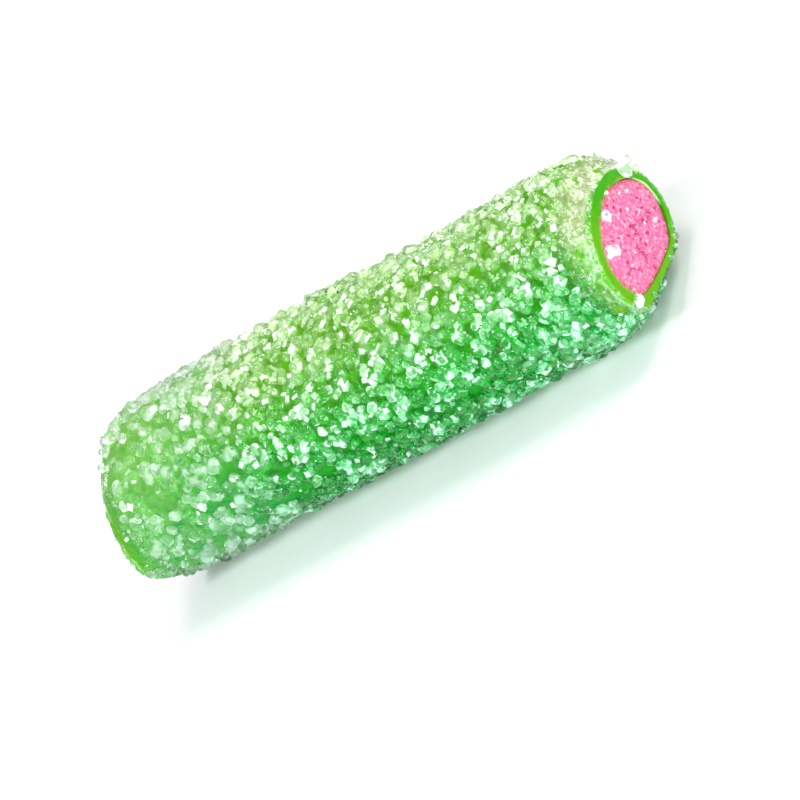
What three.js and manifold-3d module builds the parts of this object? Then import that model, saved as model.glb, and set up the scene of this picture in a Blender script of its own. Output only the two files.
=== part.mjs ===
// A sour filled gummy lying on its side: a short tube of green jelly round a pink core, guillotined at both ends
// and rolled in coarse sugar. Millimetres, +Z up, X along the tube, the origin under its middle on the table.
import * as THREE from "three";
import { mergeVertices } from "three/addons/utils/BufferGeometryUtils.js";
import Module from "manifold-3d";

const wasm = await Module();
wasm.setup();

// Driving sizes of the tube.
const length = 50; // from cut face to cut face
const bodyWidth = 12.7; // of the bare jelly, along Y
const bodyHeight = 12.2; // of the bare jelly, along Z, before it sagged
const farEndSwell = 0.02; // the end at -X is this share thicker than the middle, the other end thinner
const sag = 0.38; // depth of the flat spot that the tube rests on
const bend = 0.35; // the tube's axis lies this far up and to +Y at -X, and as far the other way at +X
const bendSpan = 9; // how softly it passes from one to the other
const bendY = 0.62; // direction of the bend across the tube
const bendZ = 0.78;

// The knife squeezes each end into a low oval, most at +X, and presses the one at +X flat against the board. Each
// outline lies a shift along Y from the tube's axis and a drop under it, is pointed by how far its exponent is under
// an ellipse's 2, and is pressed flat where it would reach further than flatAt from its own middle.
const cutAtMinus = { width: 12.1, height: 9.8, shift: -0.4, drop: 0.5, pointedness: 0.22, flatAt: 4.6 };
const cutAtPlus = { width: 11.25, height: 8.35, shift: -0.77, drop: 0.2, pointedness: 0, flatAt: 3.42 };
const flatSide = -1.82; // the angle of the flat
const flatEdge = 0.25; // how softly the oval turns into it
const pinchLength = 4.6; // how far from a cut face the squeeze reaches on average
const pinchLean = 0.3; // it reaches this share further on one side of the tube, and less on the other
const pinchSide = -2.24; // the angle of the side where it reaches furthest
const pinchPower = 2.1;
const rimRound = 0.14; // small rounding of the cut jelly's edges

// The wall of jelly, and the core inside it.
const cutWall = 1.0;
const thinned = 0.5; // a cut wall is this much thinner on one side
const thinSide = -1.17; // the angle of that side
const middleWall = 1.6;
const fit = 0.1; // clearance between wall and core
const coreRecess = 0.22; // how far the core's edge lies behind the cut face
const coreDome = 0.16; // how much of that the middle of the core makes up
const coreGrain = 0.05; // relief of the core's torn face

// Sugar: the largest crystals only, as blocks half sunk in the jelly.
const crystalCount = 232;
const crystalSizes = { long: [0.85, 1.25], wide: [0.7, 0.98], high: [0.6, 0.85] };
const crystalTilt = 0.45; // radians off lying flat on the jelly
const crystalLift = 0.06; // how far a crystal's middle stands out of the jelly
const bareBand = 1.75; // no large crystals this close to a cut face
const goldenAngle = Math.PI * (3 - Math.sqrt(5));

// How finely the surfaces are divided.
const around = 40;
const outerSteps = 26;
const boreSteps = 9;
const coreRings = 5;

const halfLength = length / 2;
const restHeight = bodyHeight / 2 - sag;

// A seeded random number in 0..1, so that the part is the same each time.
function seeded(seed) {
  let state = seed;
  return () => {
    state = (state + 0x6d2b79f5) | 0;
    let t = Math.imul(state ^ (state >>> 15), 1 | state);
    t = (t + Math.imul(t ^ (t >>> 7), 61 | t)) ^ t;
    return ((t ^ (t >>> 14)) >>> 0) / 4294967296;
  };
}

function between(random, [low, high]) {
  return low + (high - low) * random();
}

function mix(a, b, share) {
  return a + (b - a) * share;
}

// 0 up to low, 1 from high on, and an even rise between them.
function smoothStep(low, high, value) {
  const share = Math.min(Math.max((value - low) / (high - low), 0), 1);
  return share * share * (3 - 2 * share);
}

// 0 along the tube's middle, rising to 1 at a cut face.
function pinch(x, angle) {
  const reach = pinchLength * (1 + pinchLean * Math.cos(angle - pinchSide));
  const into = (Math.abs(x) - (halfLength - reach)) / reach;
  return Math.min(Math.max(into, 0), 1) ** pinchPower;
}

function wall(x) {
  return mix(middleWall, cutWall, pinch(x, pinchSide));
}

// Slow unevenness of the rolled jelly, as a share of its radius.
function unevenness(x, angle) {
  return (
    0.011 * Math.sin(0.23 * x + 2 * angle + 0.6) +
    0.008 * Math.sin(0.41 * x - angle + 2.1) +
    0.007 * Math.sin(0.57 * x + 3 * angle)
  );
}

// A point of the tube's section at x, a given depth under the jelly's skin, less where a cut wall is thinned. The
// section is an oval. What would reach past the flat of a cut face is pressed on to it, the more the nearer it is to
// the face, and what would reach below the table is pressed flat.
function sectionPoint(x, angle, depth) {
  const squeeze = pinch(x, angle);
  const thin = thinned * squeeze * smoothStep(-0.3, 0.9, Math.cos(angle - thinSide));
  const inner = depth - thin * Math.min(depth / cutWall, 1);
  const swell = 1 - (farEndSwell * x * (1 - squeeze)) / halfLength;
  const cut = x < 0 ? cutAtMinus : cutAtPlus;
  const halfWidth = mix(bodyWidth, cut.width, squeeze) * 0.5 * swell - inner;
  const halfHeight = mix(bodyHeight, cut.height, squeeze) * 0.5 * swell - inner;
  const exponent = 2 - cut.pointedness * squeeze;
  const across = Math.cos(angle);
  const up = Math.sin(angle);
  const reach =
    (Math.abs(across) ** exponent + Math.abs(up) ** exponent) ** (-1 / exponent) * (1 + unevenness(x, angle));
  const y = halfWidth * reach * across;
  const z = halfHeight * reach * up;
  const past = y * Math.cos(flatSide) + z * Math.sin(flatSide) - (cut.flatAt - inner);
  const pressed = (squeeze * (past + Math.hypot(past, flatEdge))) / 2;
  const offset = -bend * Math.tanh(x / bendSpan);
  return new THREE.Vector3(
    x,
    y - pressed * Math.cos(flatSide) + bendY * offset + cut.shift * squeeze,
    Math.max(z - pressed * Math.sin(flatSide) + restHeight + bendZ * offset - cut.drop * squeeze, inner),
  );
}

// One ring of points around the tube.
function ring(x, depth, faceShape = () => 0) {
  return Array.from({ length: around }, (_, k) => {
    const angle = (2 * Math.PI * k) / around;
    const point = sectionPoint(x, angle, depth);
    point.x += faceShape(angle);
    return point;
  });
}

// A closed surface through rings of points: the last ring joins the first, or both ends close on a middle point.
function loft(rings, poles) {
  const positions = rings.flat();
  const faces = [];
  const last = poles ? rings.length - 1 : rings.length;
  for (let i = 0; i < last; i += 1) {
    for (let k = 0; k < around; k += 1) {
      const a = i * around + k;
      const b = i * around + ((k + 1) % around);
      const c = ((i + 1) % rings.length) * around + k;
      const d = ((i + 1) % rings.length) * around + ((k + 1) % around);
      faces.push(a, b, c, b, d, c);
    }
  }
  if (poles) {
    const lastRing = (rings.length - 1) * around;
    const near = positions.push(poles[0]) - 1;
    const far = positions.push(poles[1]) - 1;
    for (let k = 0; k < around; k += 1) {
      faces.push(near, (k + 1) % around, k);
      faces.push(far, lastRing + k, lastRing + ((k + 1) % around));
    }
  }
  const geometry = new THREE.BufferGeometry().setFromPoints(positions);
  geometry.setIndex(faces);
  return geometry;
}

// Stations from low to high, closer together near both ends, where the tube curves in.
function stations(low, high, steps) {
  return Array.from({ length: steps + 1 }, (_, i) => {
    const even = (2 * i) / steps - 1;
    return mix(low, high, (Math.sin((even * Math.PI) / 2) * 0.45 + even * 0.55 + 1) / 2);
  });
}

// The jelly: along the outside, over one cut rim, back through the bore and over the other rim.
function jellyTube() {
  const face = halfLength;
  const shoulder = face - rimRound;
  const bore = stations(-shoulder, shoulder, boreSteps).reverse();
  return loft([
    ...stations(-shoulder, shoulder, outerSteps).map((x) => ring(x, 0)),
    ring(face, rimRound),
    ring(face, cutWall - rimRound),
    ...bore.map((x) => ring(x, wall(x))),
    ring(-face, cutWall - rimRound),
    ring(-face, rimRound),
  ]);
}

// The core's end: slightly domed, and torn into a shallow relief.
function coreFace(side) {
  const edge = ring(side * halfLength, cutWall + fit);
  const middle = sectionMiddle(side * halfLength);
  return Array.from({ length: coreRings }, (_, i) => {
    const share = 1 - i / coreRings;
    const dome = halfLength - coreRecess + coreDome * (1 - share ** 3);
    return edge.map((point) => {
      const moved = middle.clone().lerp(point, share);
      const relief = Math.sin(1.9 * moved.y + 0.8 * moved.z) * Math.sin(1.5 * moved.z - 1.1 * moved.y + 1);
      return moved.setX(side * (dome + coreGrain * (1 - share ** 3) * relief));
    });
  });
}

function sectionMiddle(x) {
  return sectionPoint(x, 0, 1).add(sectionPoint(x, Math.PI, 1)).multiplyScalar(0.5);
}

// The pink core, from one torn end to the other.
function coreRod() {
  const end = halfLength - coreRecess;
  const near = coreFace(-1);
  const far = coreFace(1);
  const along = stations(-end, end, boreSteps).slice(1, -1);
  const poles = [-1, 1].map((side) => sectionMiddle(side * halfLength).setX(side * (end + coreDome)));
  return loft([...near.reverse(), ...along.map((x) => ring(x, wall(x) + fit)), ...far], poles);
}

function solidOf(geometry) {
  const bare = geometry.clone();
  bare.deleteAttribute("normal");
  bare.deleteAttribute("uv");
  const merged = mergeVertices(bare, 1e-5);
  return new wasm.Manifold(
    new wasm.Mesh({
      numProp: 3,
      vertProperties: merged.attributes.position.array,
      triVerts: new Uint32Array(merged.index.array),
    }),
  );
}

function geometryOf(solid) {
  const { vertProperties, triVerts } = solid.getMesh();
  const geometry = new THREE.BufferGeometry();
  geometry.setAttribute("position", new THREE.BufferAttribute(vertProperties, 3));
  geometry.setIndex(new THREE.BufferAttribute(triVerts, 1));
  geometry.computeVertexNormals();
  return geometry;
}

// One block of sugar, turned about the outward direction and tilted off it.
function crystal(place, outward, random) {
  const [long, wide, high] = ["long", "wide", "high"].map((side) => between(random, crystalSizes[side]));
  const lying = new THREE.Quaternion().setFromUnitVectors(new THREE.Vector3(0, 0, 1), outward);
  const turned = new THREE.Quaternion().setFromEuler(
    new THREE.Euler(crystalTilt * (2 * random() - 1), crystalTilt * (2 * random() - 1), Math.PI * random(), "ZXY"),
  );
  const block = new THREE.BoxGeometry(long, wide, high);
  block.applyQuaternion(lying.multiply(turned));
  block.translate(...place.clone().addScaledVector(outward, crystalLift));
  return solidOf(block);
}

function outwardAt(x, angle) {
  const step = 0.02;
  const along = sectionPoint(x + step, angle, 0).sub(sectionPoint(x - step, angle, 0));
  const around = sectionPoint(x, angle + step, 0).sub(sectionPoint(x, angle - step, 0));
  return around.cross(along).normalize();
}

// Sugar over the jelly's outside, on a spiral that spreads it evenly, with some play.
function sugarOnJelly(random) {
  const reach = halfLength - bareBand;
  const blocks = [];
  for (let i = 0; i < crystalCount; i += 1) {
    const x = mix(-reach, reach, (i + random()) / crystalCount);
    const angle = i * goldenAngle + 0.25 * (random() - 0.5);
    const place = sectionPoint(x, angle, 0);
    if (place.z > 0) blocks.push(crystal(place, outwardAt(x, angle), random));
  }
  return blocks;
}

// A few crystals that stick to the cut faces, at [side, y, z from the face's middle].
const onCutJelly = [
  [1, -4.9, -1.1],
  [1, 4.8, 1.6],
  [-1, 3.1, 2.95],
];
const onCore = [
  [1, 0, 2.35],
  [1, -2.6, 1.55],
  [-1, 1.4, -1.3],
];

function sugarOnFaces(places, depth, random) {
  return places.map(([side, y, z]) => {
    const place = sectionMiddle(side * halfLength).add(new THREE.Vector3(-side * depth, y, z));
    return crystal(place, new THREE.Vector3(side, 0, 0), random);
  });
}

function joined(solids) {
  return wasm.Manifold.union(solids);
}

// Everything below the table's top, to cut the crystals that the tube rests on.
function belowTable() {
  const block = new THREE.BoxGeometry(2 * length, 2 * length, length);
  block.translate(0, 0, -length / 2);
  return solidOf(block);
}

const random = seeded(47);
const sugaredJelly = joined([
  solidOf(jellyTube()),
  ...sugarOnJelly(random),
  ...sugarOnFaces(onCutJelly, 0, random),
]).subtract(belowTable());
const coreSugar = joined(sugarOnFaces(onCore, coreRecess - coreDome, random));
const core = solidOf(coreRod()).add(coreSugar);

const gummy = new THREE.Group();

const skin = new THREE.Mesh(
  geometryOf(sugaredJelly),
  new THREE.MeshStandardMaterial({ color: "#6cbf45", roughness: 0.55, metalness: 0 }),
);
skin.name = "sugared_skin";
gummy.add(skin);

const filling = new THREE.Mesh(
  geometryOf(core.subtract(sugaredJelly)),
  new THREE.MeshStandardMaterial({ color: "#f77fb4", roughness: 0.8, metalness: 0 }),
);
filling.name = "filling";
gummy.add(filling);

// The crystals stick out unevenly, so the origin is put under the middle of the finished piece.
const box = new THREE.Box3().setFromObject(gummy);
const middle = box.getCenter(new THREE.Vector3());
gummy.position.set(-middle.x, -middle.y, -box.min.z);

export default gummy;
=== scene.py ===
import math

import bpy
import numpy as np
from bpy.props import FloatProperty, FloatVectorProperty, IntProperty, PointerProperty
from mathutils import Matrix, Vector


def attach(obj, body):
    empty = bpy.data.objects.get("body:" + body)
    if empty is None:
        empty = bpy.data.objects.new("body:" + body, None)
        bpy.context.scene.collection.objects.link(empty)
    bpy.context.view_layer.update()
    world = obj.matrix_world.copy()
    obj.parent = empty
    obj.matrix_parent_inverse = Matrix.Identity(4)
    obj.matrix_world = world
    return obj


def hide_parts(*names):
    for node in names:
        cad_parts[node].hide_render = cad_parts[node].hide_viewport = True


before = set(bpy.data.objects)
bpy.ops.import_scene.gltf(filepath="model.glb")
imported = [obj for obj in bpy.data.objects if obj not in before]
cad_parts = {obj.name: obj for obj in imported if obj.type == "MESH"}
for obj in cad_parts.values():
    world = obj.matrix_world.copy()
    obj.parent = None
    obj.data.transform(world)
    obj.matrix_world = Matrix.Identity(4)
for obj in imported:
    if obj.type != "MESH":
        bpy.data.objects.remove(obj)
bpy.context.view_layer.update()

bl_info = {
    "name": "Filled Sour Gummy",
    "version": (1, 0, 0),
    "blender": (4, 5, 0),
    "location": "View3D > Sidebar > Gummy",
    "description": "Builds a sugared jelly tube with a pink core, and the stage that it lies on",
    "category": "Add Mesh",
}

# Shapes are worked out in millimetres and put into the meshes in metres.
MM = 0.001

# The middle of the bare tube in the CAD part's frame, whose origin lies under the middle of its box.
ORIGIN_X, ORIGIN_Y = -0.0596, -0.0359

# Form of the tube beyond its plain sizes, the same as in the CAD part.
FAR_END_SWELL = 0.02
SAG = 0.38
BEND, BEND_SPAN, BEND_Y, BEND_Z = 0.35, 9.0, 0.62, 0.78
PINCH_LENGTH, PINCH_LEAN, PINCH_SIDE, PINCH_POWER = 4.6, 0.3, -2.24, 2.1
RIM_ROUND = 0.14
CORE_RECESS, CORE_DOME = 0.22, 0.16

# How the knife leaves each cut face: its middle's shift along Y and drop under the axis, how far its
# outline is from an ellipse, and how far from its middle the underside is pressed flat.
CUT_FORMS = {1: (-0.77, 0.20, 0.0, 3.42), -1: (-0.4, 0.5, 0.22, 4.6)}

# Direction in which that flat lies from the middle, and how softly it passes into the oval.
FLAT_SIDE, FLAT_EDGE = -1.82, 0.25

# The ring of jelly on a cut face is this much thinner on one side.
THINNED, THIN_SIDE = 0.5, -1.17

# Points of the grids round the tube, and rings on each of the core's ends.
JELLY_AROUND = 250
CORE_AROUND, CORE_RINGS = 240, 54

# The cut jelly's random relief and the height that it bulges, how far the core reaches into the jelly, so
# that no gap shows between them, and how deep the core's ends are torn.
CUT_RELIEF, CUT_BULGE = 0.035, 0.07
CORE_TUCK = 0.03
TORN_DEPTH = 0.08

# The middle of the tube, the slanting direction in which its hue changes, and from where to where.
# The change of hue is painted light and shade: the high side is painted as lit, the low side as shaded.
TUBE_MIDDLE = (0.0, 0.0, 6.1)
LIT_SIDE_DIRECTION = (0.0, 0.62, 0.78)
LIT_SIDE_RANGE = (-5.8, 5.0)

# From where to where along the tube its far end's soft, pale look gives way to the clear one.
FAR_LOOK = (-16.0, -6.0)

# Where at the far end the shown side's bare, wet look begins, and where it is full.
FAR_BARE = (-23.0, -24.3)

# Share of the bevelled crystals' large facets that are painted white as glints, and of these crystals that
# are frosted.
PAINTED_GLINTS = 0.05
FROSTED = 0.18

# How much less white the far end's facets are.
FAR_LESS_WHITE = 0.45

# Rough direction of a crystal's first edge before its random turn, nearly along the tube.
FIRST_EDGE = (1.0, 0.13, 0.09)

# Kinds of sugar from clear to white: name, how much light passes through, and how white a facet has to
# be.
SUGAR_KINDS = (
    ("clear_sugar", 1.0, 0.0),
    ("hazy_sugar", 0.88, 0.12),
    ("milky_sugar", 0.68, 0.35),
    ("white_sugar", 0.25, 0.62),
)

# Places without coarse sugar: x, angle from +Y towards +Z, half length along the tube, half width across
# it.
BARE_PATCHES = (
    (15.7, 113.0, 0.45, 0.6),
    (11.7, 121.0, 0.35, 0.8),
    (11.0, 114.0, 0.6, 0.45),
    (8.3, 117.0, 0.9, 0.55),
    (7.3, 126.0, 0.35, 0.5),
    (2.4, 136.5, 0.6, 0.4),
    (-11.6, 128.0, 0.5, 0.45),
    (9.9, 185.0, 0.7, 0.6),
    (4.6, 211.0, 0.8, 0.7),
    (15.5, 199.0, 0.7, 0.6),
    (23.75, 187.0, 0.5, 1.0),
    (24.2, 159.0, 0.25, 0.4),
    (24.65, 168.0, 0.35, 0.8),
    (-24.2, 130.0, 0.9, 2.2),
    (-24.1, 158.0, 0.9, 2.4),
    (-12.0, 150.0, 1.2, 0.5),
    (-15.0, 168.0, 1.6, 0.6),
    (-8.0, 171.0, 0.9, 0.5),
    (-9.5, 193.0, 3.0, 0.75),
    (-5.7, 187.0, 1.1, 0.5),
    (-13.2, 200.0, 1.6, 0.7),
)

# Stretches where the sugar is whiter or clearer than its neighbours: x, angle from +Y towards +Z, half
# length along the tube, half width in degrees, and by how much.
WHITER_PATCHES = (
    (3.0, 101.0, 4.0, 9.0, -0.40),
    (9.0, 101.0, 4.0, 9.0, -0.35),
    (-5.0, 131.0, 4.5, 8.0, -0.55),
    (3.0, 131.0, 3.5, 8.0, -0.35),
    (16.3, 131.0, 2.8, 8.0, -0.75),
    (-17.0, 112.0, 4.0, 12.0, -0.25),
    (-8.5, 114.0, 3.5, 8.0, 0.30),
    (12.0, 116.0, 2.8, 7.0, 0.25),
    (-1.3, 150.0, 2.5, 10.0, -0.25),
    (3.2, 157.0, 2.5, 8.0, 0.35),
    (16.3, 156.0, 2.8, 7.0, 0.50),
    (-6.0, 160.0, 2.5, 8.0, 0.25),
    (-14.5, 171.0, 2.5, 9.0, 0.60),
    (-5.5, 171.0, 3.0, 9.0, 0.55),
    (3.0, 171.0, 3.0, 8.0, 0.35),
    (-7.5, 116.0, 3.0, 8.0, 0.20),
    (-21.0, 172.0, 3.0, 10.0, 0.40),
    (16.3, 172.0, 2.8, 7.0, -0.25),
    (12.0, 187.0, 2.8, 7.0, -0.30),
    (23.5, 197.0, 2.5, 16.0, 0.60),
)

# Height of the line that the angles of these stretches are measured round.
PATCH_AXIS = 6.0

# Crystals on the cut faces: side, y and z from the face's middle, size, whether it lies on the core, and
# how green it is.
FACE_CRYSTALS = (
    (1, -0.22, 2.81, 0.95, True, 0),
    (1, -2.75, 1.85, 1.15, True, 0),
    (1, -5.25, -1.0, 0.95, False, 0),
    (1, 4.55, 1.75, 1.2, False, 0),
    (1, 5.35, 2.1, 0.6, False, 0.4),
    (1, 5.6, 1.6, 0.7, False, 0.6),
    (1, 5.4, 0.75, 0.8, False, 0.6),
    (1, 2.75, -3.1, 0.5, False, 0.9),
    (1, 2.1, -3.55, 0.6, False, 0.8),
    (1, 1.3, -3.7, 0.5, False, 0.9),
    (1, 0.1, -3.4, 0.45, False, 0.9),
    (1, -2.6, -2.8, 0.4, False, 0.8),
    (1, -3.9, -2.3, 0.5, False, 0.9),
    (1, 1.7, 3.05, 0.35, False, 0),
    (-1, 3.1, 3.3, 1.0, False, 0),
    (-1, -4.4, 2.2, 0.8, False, 0),
    (-1, 1.4, -1.3, 1.0, True, 0),
    (-1, -2.1, 0.7, 0.6, True, 0),
)

# Cracks in the core's torn faces: side, and y and z of both ends from the face's middle.
CRACKS = (
    (1, 0.4, 0.5, 1.1, -0.1),
    (1, 1.1, -0.1, 2.4, -1.2),
    (1, -0.9, -0.7, -1.3, -1.7),
    (1, -2.9, -0.2, -2.4, -1.0),
    (-1, 1.2, 1.8, 0.4, 0.3),
    (-1, 0.4, 0.3, -1.6, -0.4),
)

# Usual, least and largest edge of the grains that glint on the core.
SPARKLE_SIZES = (0.15, 0.08, 0.28)

# Colours beside those of the settings, as linear light. A pair is for the low and the high side, whose
# colours are painted as shaded and as lit.
BARE_JELLY = (0.0, 0.25, 0.005), (0.075, 0.28, 0.001)
FAR_JELLY = (0.02, 0.30, 0.05), (0.09, 0.30, 0.04)
# RING_BORE_SUNLIT is painted light on the ring's sunlit edge by the bore, and RING_SHADE painted shade.
RING_STREAKS, RING_SHADE, RING_BORE_SUNLIT = (0.05, 0.345, 0.002), (0.045, 0.31, 0.001), (0.24, 0.31, 0.03)
LIP_GLEAM = (0.66, 0.90, 0.60)
# CORE_BORDER_AND_SHADE is partly the core's redder edge and partly painted shade of its recess.
CORE_BORDER_AND_SHADE, CORE_GRAIN = (0.70, 0.10, 0.15), (0.93, 0.46, 0.66)
FAR_SUGAR = (0.60, 0.82, 0.66), (0.76, 0.80, 0.74)
CROWN_SUGAR = (0.50, 0.74, 0.22)
PLAIN_SUGAR = (0.98, 0.99, 0.98)
MILKY_SUGAR = (0.90, 0.93, 0.94), (0.92, 0.93, 1.0)
DRY_SUGAR = (0.98, 0.98, 1.0)
WHITE_ROOM = (0.96, 0.99, 1.0, 1.0)
WARM_LIGHT, COOL_LIGHT = (1.0, 0.985, 0.965), (0.92, 1.0, 0.98)

# The photograph's view: where the camera stands as seen from the gummy, and how far the tube's axis rises
# in the picture. The field is that of 800 pixels at 14.2 pixels to the millimetre.
VIEW_TO_AXIS = math.radians(51.5)
VIEW_ELEVATION = math.radians(29.3)
AXIS_RISE = math.radians(30.0)
VIEW_DISTANCE = 0.6
FIELD_WIDTH = 0.05634

# Height over the origin of the point that the lights aim at, and how far right and up of it in the picture
# the camera aims, in metres.
AIM_HEIGHT, AIM_RIGHT, AIM_UP = 0.0063, 0.00148, -0.00275

# Distance of the lights from the gummy, and half the width of the floor, in metres.
LIGHT_DISTANCE = 0.48
FLOOR_REACH = 1.5

# What the settings of one kind have in common.
LENGTH = {"precision": 6, "unit": "LENGTH"}
COLOUR = {"subtype": "COLOR", "size": 3, "min": 0, "max": 1}
POWER = {"min": 0, "unit": "POWER"}


class GummyShape(bpy.types.PropertyGroup):
    """Sizes of the jelly tube and of the core in it."""

    length: FloatProperty(name="Length", description="From cut face to cut face", default=0.050, **LENGTH)
    body_width: FloatProperty(
        name="Width", description="Bare jelly across the tube", default=0.0127, **LENGTH
    )
    body_height: FloatProperty(
        name="Height", description="Bare jelly from top to bottom, before it sagged",
        default=0.0122, **LENGTH
    )
    plus_cut: FloatVectorProperty(
        name="Cut at +X", description="Width and height of the cut face that the photograph shows",
        default=(0.01125, 0.00835), size=2, **LENGTH
    )
    minus_cut: FloatVectorProperty(
        name="Cut at -X", description="Width and height of the other cut face",
        default=(0.0121, 0.0098), size=2, **LENGTH
    )
    cut_wall: FloatProperty(
        name="Wall at the Cut", description="Thickness of the jelly ring on a cut face",
        default=0.001, **LENGTH
    )
    middle_wall: FloatProperty(
        name="Wall Inside", description="Thickness of the jelly away from the cuts",
        default=0.0016, **LENGTH
    )
    relief: FloatProperty(
        name="Relief", description="Depth of the dimples that the sugar leaves in the jelly",
        default=0.00005, **LENGTH
    )


class GummySugar(bpy.types.PropertyGroup):
    """Sizes and spacing of the sugar."""

    coarse_size: FloatProperty(
        name="Coarse Size", description="Usual edge of a coarse crystal", default=0.00065, **LENGTH
    )
    coarse_spacing: FloatProperty(
        name="Coarse Spacing", description="Distance between coarse crystals", default=0.00072, **LENGTH
    )
    fine_size: FloatProperty(
        name="Fine Size", description="Usual edge of a fine crystal", default=0.00034, **LENGTH
    )
    fine_spacing: FloatProperty(
        name="Fine Spacing", description="Distance between fine crystals", default=0.00056, **LENGTH
    )
    dust_size: FloatProperty(
        name="Dust Size", description="Usual edge of a grain of sugar dust", default=0.00010, **LENGTH
    )
    dust_grains: IntProperty(name="Dust Grains", description="Grains of sugar dust", default=11000, min=0)
    sparkles: IntProperty(
        name="Sparkles", description="Grains that glint on each cut end of the core", default=80, min=0
    )
    seed: IntProperty(name="Seed", description="Start of the random draws", default=11, min=0)


class GummyColours(bpy.types.PropertyGroup):
    """Colours of the jelly, the core and the sugar, as linear light."""

    # Painted light and shade: each pair holds the jelly as lit on the high side and as shaded on the low
    # side, and the gap colours are darker than those under the crystals, as painted shade between them.
    gap_jelly_lit_side: FloatVectorProperty(
        name="Upper Jelly", description="Yellow green of the high side",
        default=(0.070, 0.22, 0.001), **COLOUR
    )
    gap_jelly_shaded_side: FloatVectorProperty(
        name="Lower Jelly", description="Blue green of the low side",
        default=(0.0, 0.15, 0.002), **COLOUR
    )
    under_crystal_lit_side: FloatVectorProperty(
        name="Under Sugar, Upper", description="Jelly that is seen through a crystal, on the high side",
        default=(0.10, 0.27, 0.01), **COLOUR
    )
    under_crystal_shaded_side: FloatVectorProperty(
        name="Under Sugar, Lower", description="The same on the low side",
        default=(0.0, 0.33, 0.03), **COLOUR
    )
    jelly_ring: FloatVectorProperty(
        name="Cut Ring", description="Wet jelly on a cut face", default=(0.115, 0.345, 0.003), **COLOUR
    )
    frost: FloatVectorProperty(
        name="Frost", description="Pale jelly under sugar dust beside a cut",
        default=(0.34, 0.365, 0.21), **COLOUR
    )
    # Painted shade: the frost as shaded on the low side.
    frost_shaded_side: FloatVectorProperty(
        name="Frost, Low", description="The same on the low side", default=(0.20, 0.42, 0.10), **COLOUR
    )
    core: FloatVectorProperty(
        name="Core", description="Pink of the core", default=(0.70, 0.14, 0.33), **COLOUR
    )
    # Painted shade: the darker pink in the core's pits and cracks.
    core_pit_shade: FloatVectorProperty(
        name="Core, Pits", description="Pink in the core's pits", default=(0.50, 0.025, 0.12), **COLOUR
    )
    # Painted light and shade: the sugar's tint as lit on the high side and as shaded on the low side.
    sugar_tint_lit_side: FloatVectorProperty(
        name="Sugar, High", description="Deepest tint of the sugar over the yellow-green side",
        default=(0.74, 0.79, 0.50), **COLOUR
    )
    sugar_tint_shaded_side: FloatVectorProperty(
        name="Sugar, Low", description="Deepest tint of the sugar over the blue-green side",
        default=(0.03, 0.80, 0.24), **COLOUR
    )


class GummyStudio(bpy.types.PropertyGroup):
    """Light and floor."""

    key_power: FloatProperty(
        name="Key Light", description="Power of the large light over the tube", default=1.0, **POWER
    )
    fill_power: FloatProperty(
        name="Fill Light", description="Power of the light beside the camera", default=1.62, **POWER
    )
    sky: FloatProperty(
        name="Surroundings", description="Brightness of the white room", default=0.50, min=0
    )
    floor_colour: FloatVectorProperty(
        name="Floor", description="Pale floor", default=(0.90, 0.91, 0.92), **COLOUR
    )


def mix(a, b, share):
    """a where share is 0, b where it is 1, and in proportion between."""
    return a + (b - a) * share


def smooth_step(low, high, value):
    """0 up to low, 1 from high on, and 3t^2 - 2t^3 between, where t is the share of the way from low to
    high. Where high is the smaller one, it falls from 1 to 0 as the value rises."""
    t = np.clip((value - low) / (high - low), 0, 1)
    return t * t * (3 - 2 * t)


def toward(angle, degrees):
    """1 on the side of the tube that faces this way and 0 on the opposite one, as a cosine of the
    angle."""
    return 0.5 + 0.5 * np.cos(angle - math.radians(degrees))


def angle_from(angle, degrees):
    """The angle as measured from this direction, from -pi to pi."""
    return (angle - math.radians(degrees) + np.pi) % (2 * np.pi) - np.pi


def waves(points, period, seed, count=28):
    """A smooth random field over space with mean 0 and spread 1: the sum of count sine waves in random
    directions, with random phases and periods from 0.7 to 1.5 times the one given."""
    rng = np.random.default_rng(seed)
    directions = rng.normal(size=(3, count))
    directions /= np.linalg.norm(directions, axis=0)
    directions *= 2 * np.pi / (period * rng.uniform(0.7, 1.5, count))
    phases = rng.uniform(0, 2 * np.pi, count)
    return np.sin(points @ directions + phases).sum(-1) * math.sqrt(2 / count)


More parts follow.
